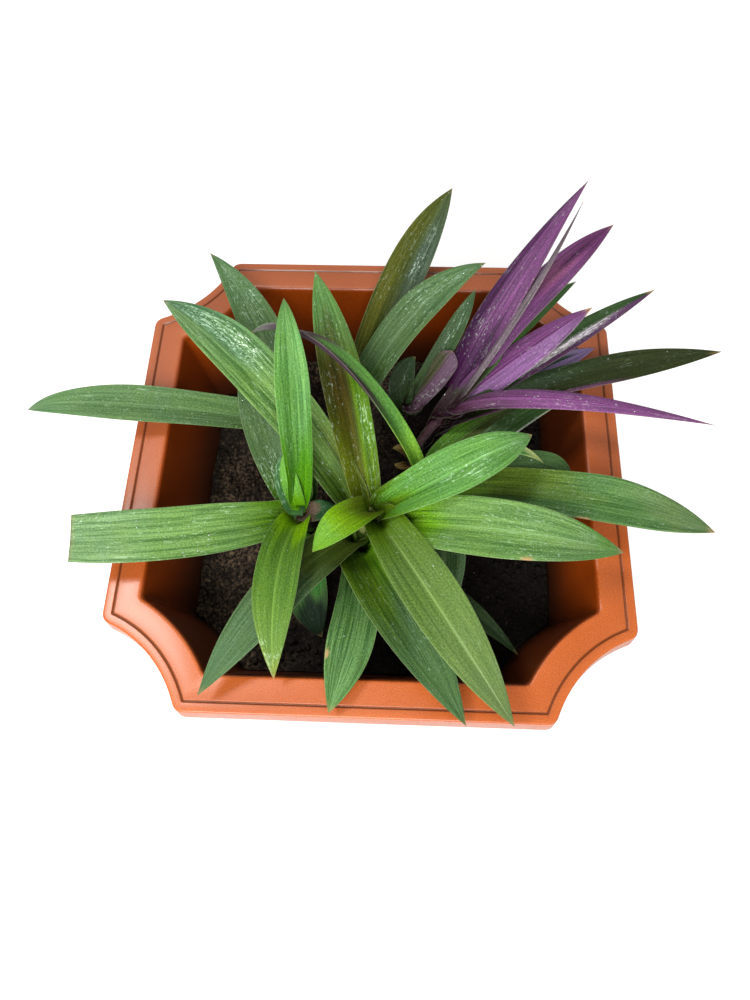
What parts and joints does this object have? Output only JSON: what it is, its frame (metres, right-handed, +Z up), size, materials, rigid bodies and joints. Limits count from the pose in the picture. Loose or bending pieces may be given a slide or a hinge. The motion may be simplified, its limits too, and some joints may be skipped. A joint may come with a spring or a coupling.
{
  "type": "potted tradescantia",
  "caption": "Square planter with scooped corners and a turned-down rim, filled with soil, growing short shoots of long arching lance-shaped leaves, green above and purple below.",
  "frame": {"origin": "middle of the planter's flat underside", "axes": "+Z up, -Y towards the side that faces the picture's viewer, +X to that viewer's right"},
  "size_m": [0.4293, 0.3442, 0.336],
  "materials": {
    "planter": "satin moulded plastic, terracotta orange",
    "soil": "rough dark potting soil",
    "green_leaf": "waxy mid green leaf with fine lighter stripes along it",
    "dark_leaf": "waxy dark green leaf",
    "purple_leaf": "waxy leaf showing its purple underside"
  },
  "bodies": {
    "root": {"planter": "planter", "soil": "soil", "shoot_front_left": "green_leaf", "shoot_centre": "green_leaf", "shoot_right": "dark_leaf", "shoot_back_left": "dark_leaf", "shoot_purple": "purple_leaf", "shoot_back": "purple_leaf"}
  },
  "joints": []
}
